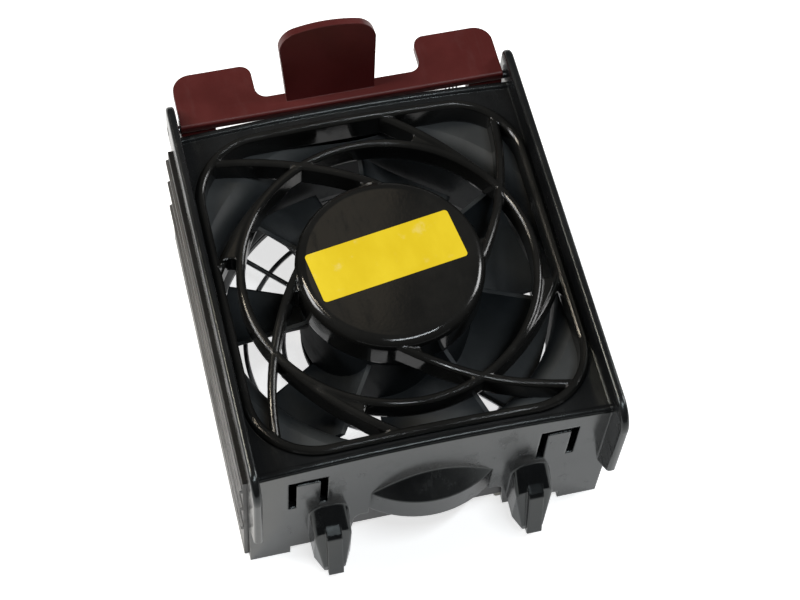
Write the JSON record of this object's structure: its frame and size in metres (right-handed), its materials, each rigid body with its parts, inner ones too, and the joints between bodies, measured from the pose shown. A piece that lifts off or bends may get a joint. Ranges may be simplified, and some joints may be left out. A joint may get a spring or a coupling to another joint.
{
  "type": "server fan module",
  "caption": "Hot-plug axial fan module with arched swirl finger guard, side flanges, guide hooks and a sprung maroon latch.",
  "frame": {"origin": "where the fan's axis meets the plane the module stands on, behind its tray", "axes": "+Z along the fan's axis toward the finger guard, +Y toward the latch, +X to the right"},
  "size_m": [0.129, 0.1701, 0.0963],
  "materials": {
    "shell_black": "black satin moulding",
    "guard_wire": "welded steel wire",
    "fan_plastic": "glass-filled plastic",
    "yoke_steel": "pressed steel cup",
    "magnet_rubber": "bonded magnet strip",
    "bright_steel": "bright steel",
    "tube_brass": "turned brass",
    "core_steel": "stacked laminations",
    "coil_lacquer": "lacquered windings",
    "bobbin_nylon": "natural nylon",
    "board_laminate": "board laminate",
    "chip_plastic": "moulded chips",
    "lead_red": "insulated lead",
    "lead_black": "insulated lead",
    "lead_blue": "insulated lead",
    "plug_nylon": "nylon housing",
    "contact_brass": "stamped contacts",
    "pad_rubber": "soft pads",
    "latch_maroon": "maroon moulding",
    "label_film": "blank sticker"
  },
  "bodies": {
    "housing": {"front_shell": "shell_black", "finger_guard": "shell_black", "rear_shell": "shell_black", "rear_guard": "guard_wire", "fan_frame": "fan_plastic", "bearing_tube": "tube_brass", "bearing_lower": "bright_steel", "bearing_upper": "bright_steel", "preload_washer": "bright_steel", "stator_core": "core_steel", "stator_coils": "coil_lacquer", "stator_bobbin": "bobbin_nylon", "driver_board": "board_laminate", "board_parts": "chip_plastic", "lead_red": "lead_red", "lead_black": "lead_black", "lead_blue": "lead_blue", "connector_body": "plug_nylon", "connector_contacts": "contact_brass", "fan_screws": "bright_steel", "corner_pads": "pad_rubber", "latch_rod": "bright_steel", "latch_spring": "bright_steel", "blank_label": "label_film"},
    "rotor": {"impeller": "fan_plastic", "rotor_yoke": "yoke_steel", "rotor_magnet": "magnet_rubber", "rotor_shaft": "bright_steel", "shaft_clip": "bright_steel"},
    "latch": {"latch_handle": "latch_maroon"}
  },
  "joints": [
    {"name": "fan_spin", "type": "hinge", "parent": "housing", "child": "rotor", "pos_m": [0, 0, 0.03], "axis": [0, 0, 1], "continuous": true},
    {"name": "latch_tilt", "type": "hinge", "parent": "housing", "child": "latch", "pos_m": [0, 0.072, 0.062], "axis": [1, 0, 0], "range_deg": [0, 10], "stiffness_Nm_per_rad": 0.6, "springref_deg": -11.46}
  ]
}
